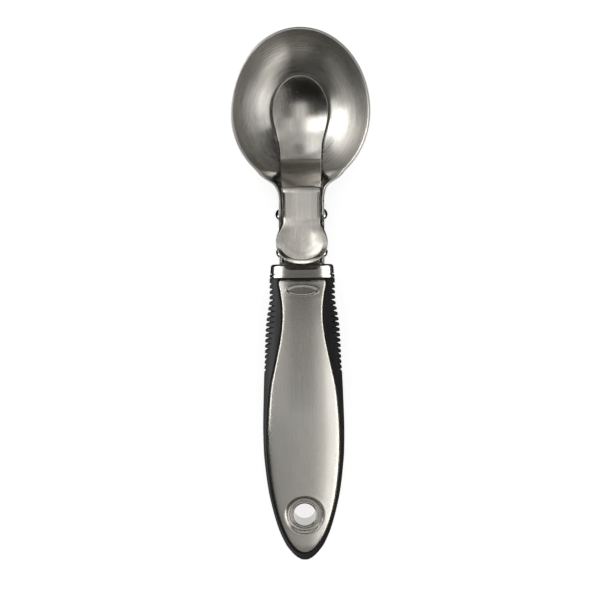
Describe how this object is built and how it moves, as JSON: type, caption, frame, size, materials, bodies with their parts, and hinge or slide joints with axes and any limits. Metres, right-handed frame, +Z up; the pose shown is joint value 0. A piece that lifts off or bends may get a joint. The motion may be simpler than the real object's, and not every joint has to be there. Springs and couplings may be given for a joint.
{
  "type": "lever ice cream scoop",
  "caption": "Oval ice cream scoop with a thumb lever that rocks an ejector tongue up out of the bowl, on a gripped handle with sheet covers and a hanging hole.",
  "frame": {"origin": "centre of the bounding box in X and Y, on the table that the scoop lies on: bowl and rear cover touch Z = 0", "axes": "+Y along the scoop towards the bowl's tip, +Z up out of the bowl, X across"},
  "size_m": [0.0576, 0.2221, 0.0302],
  "materials": {
    "stainless_bowl": "satin, brushed in rings round the bowl",
    "stainless_lever": "satin, brushed lengthwise",
    "stainless_rivet": "polished domed head",
    "bush_steel": "turned",
    "washer_plastic": "natural nylon",
    "spring_steel": "drawn wire",
    "bolster_metal": "satin cast stainless",
    "pin_steel": "plain drawn",
    "core_plastic": "moulded",
    "grip_rubber": "soft matt",
    "stainless_cover": "satin, brushed lengthwise, polished rolled edge",
    "sleeve_steel": "polished"
  },
  "bodies": {
    "scoop": {"scoop_bowl": "stainless_bowl", "pivot_rivet": "stainless_rivet", "rear_rivet": "stainless_rivet", "pivot_bush": "bush_steel", "pivot_washers": "washer_plastic", "neck_bolster": "bolster_metal", "tang_pins": "pin_steel", "handle_core": "core_plastic", "soft_grip": "grip_rubber", "front_cover": "stainless_cover", "rear_cover": "stainless_cover", "front_cover_studs": "pin_steel", "rear_cover_studs": "pin_steel", "hang_sleeve": "sleeve_steel"},
    "lever": {"ejector_lever": "stainless_lever", "return_spring": "spring_steel"}
  },
  "joints": [
    {"name": "lever_pivot", "type": "hinge", "parent": "scoop", "child": "lever", "pos_m": [0, 0.03443, 0.01992], "axis": [1, 0, 0], "range_deg": [0, 20], "stiffness_Nm_per_rad": 0.4, "springref_deg": -5.73, "deforming": ["return_spring"]}
  ]
}
